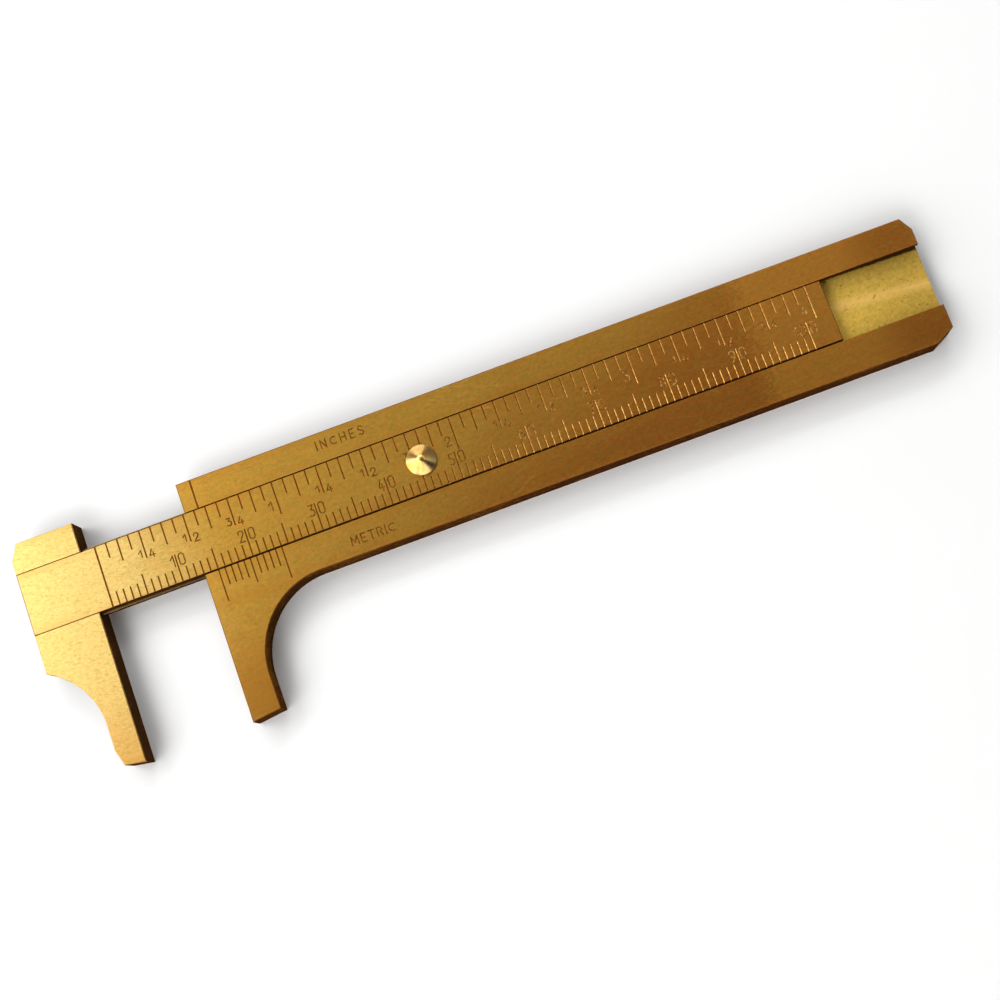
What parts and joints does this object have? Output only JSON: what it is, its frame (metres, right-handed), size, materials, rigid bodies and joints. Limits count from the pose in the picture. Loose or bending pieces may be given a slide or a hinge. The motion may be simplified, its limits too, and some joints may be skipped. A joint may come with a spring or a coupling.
{
  "type": "vernier caliper",
  "caption": "Flat brass vernier caliper: a channelled frame with a fixed jaw, and a graduated sliding bar that carries the moving jaw and a thumb stud.",
  "frame": {"origin": "on the flat back, on the channel's centreline, in the plane of the fixed jaw's measuring face", "axes": "+X along the frame away from the moving jaw, +Y across it away from the jaw tips, +Z from the back to the graduated face"},
  "size_m": [0.1293, 0.0339, 0.0061],
  "materials": {
    "frame_brass": "aged, fine brushed grain",
    "bar_brass": "aged, fine brushed grain",
    "jaw_brass": "worn brighter by the fingers",
    "stud_brass": "polished",
    "spring_brass": "hard-rolled, smooth",
    "pin_brass": "filed flush"
  },
  "bodies": {
    "frame": {"frame": "frame_brass", "stop_pin": "pin_brass"},
    "slide": {"slide_bar": "bar_brass", "sliding_jaw": "jaw_brass", "jaw_pins": "pin_brass", "thumb_stud": "stud_brass", "friction_spring": "spring_brass", "spring_rivet": "pin_brass"}
  },
  "joints": [
    {"name": "jaw_slide", "type": "slide", "parent": "frame", "child": "slide", "axis": [-1, 0, 0], "range_m": [-0.015, 0.065]}
  ]
}
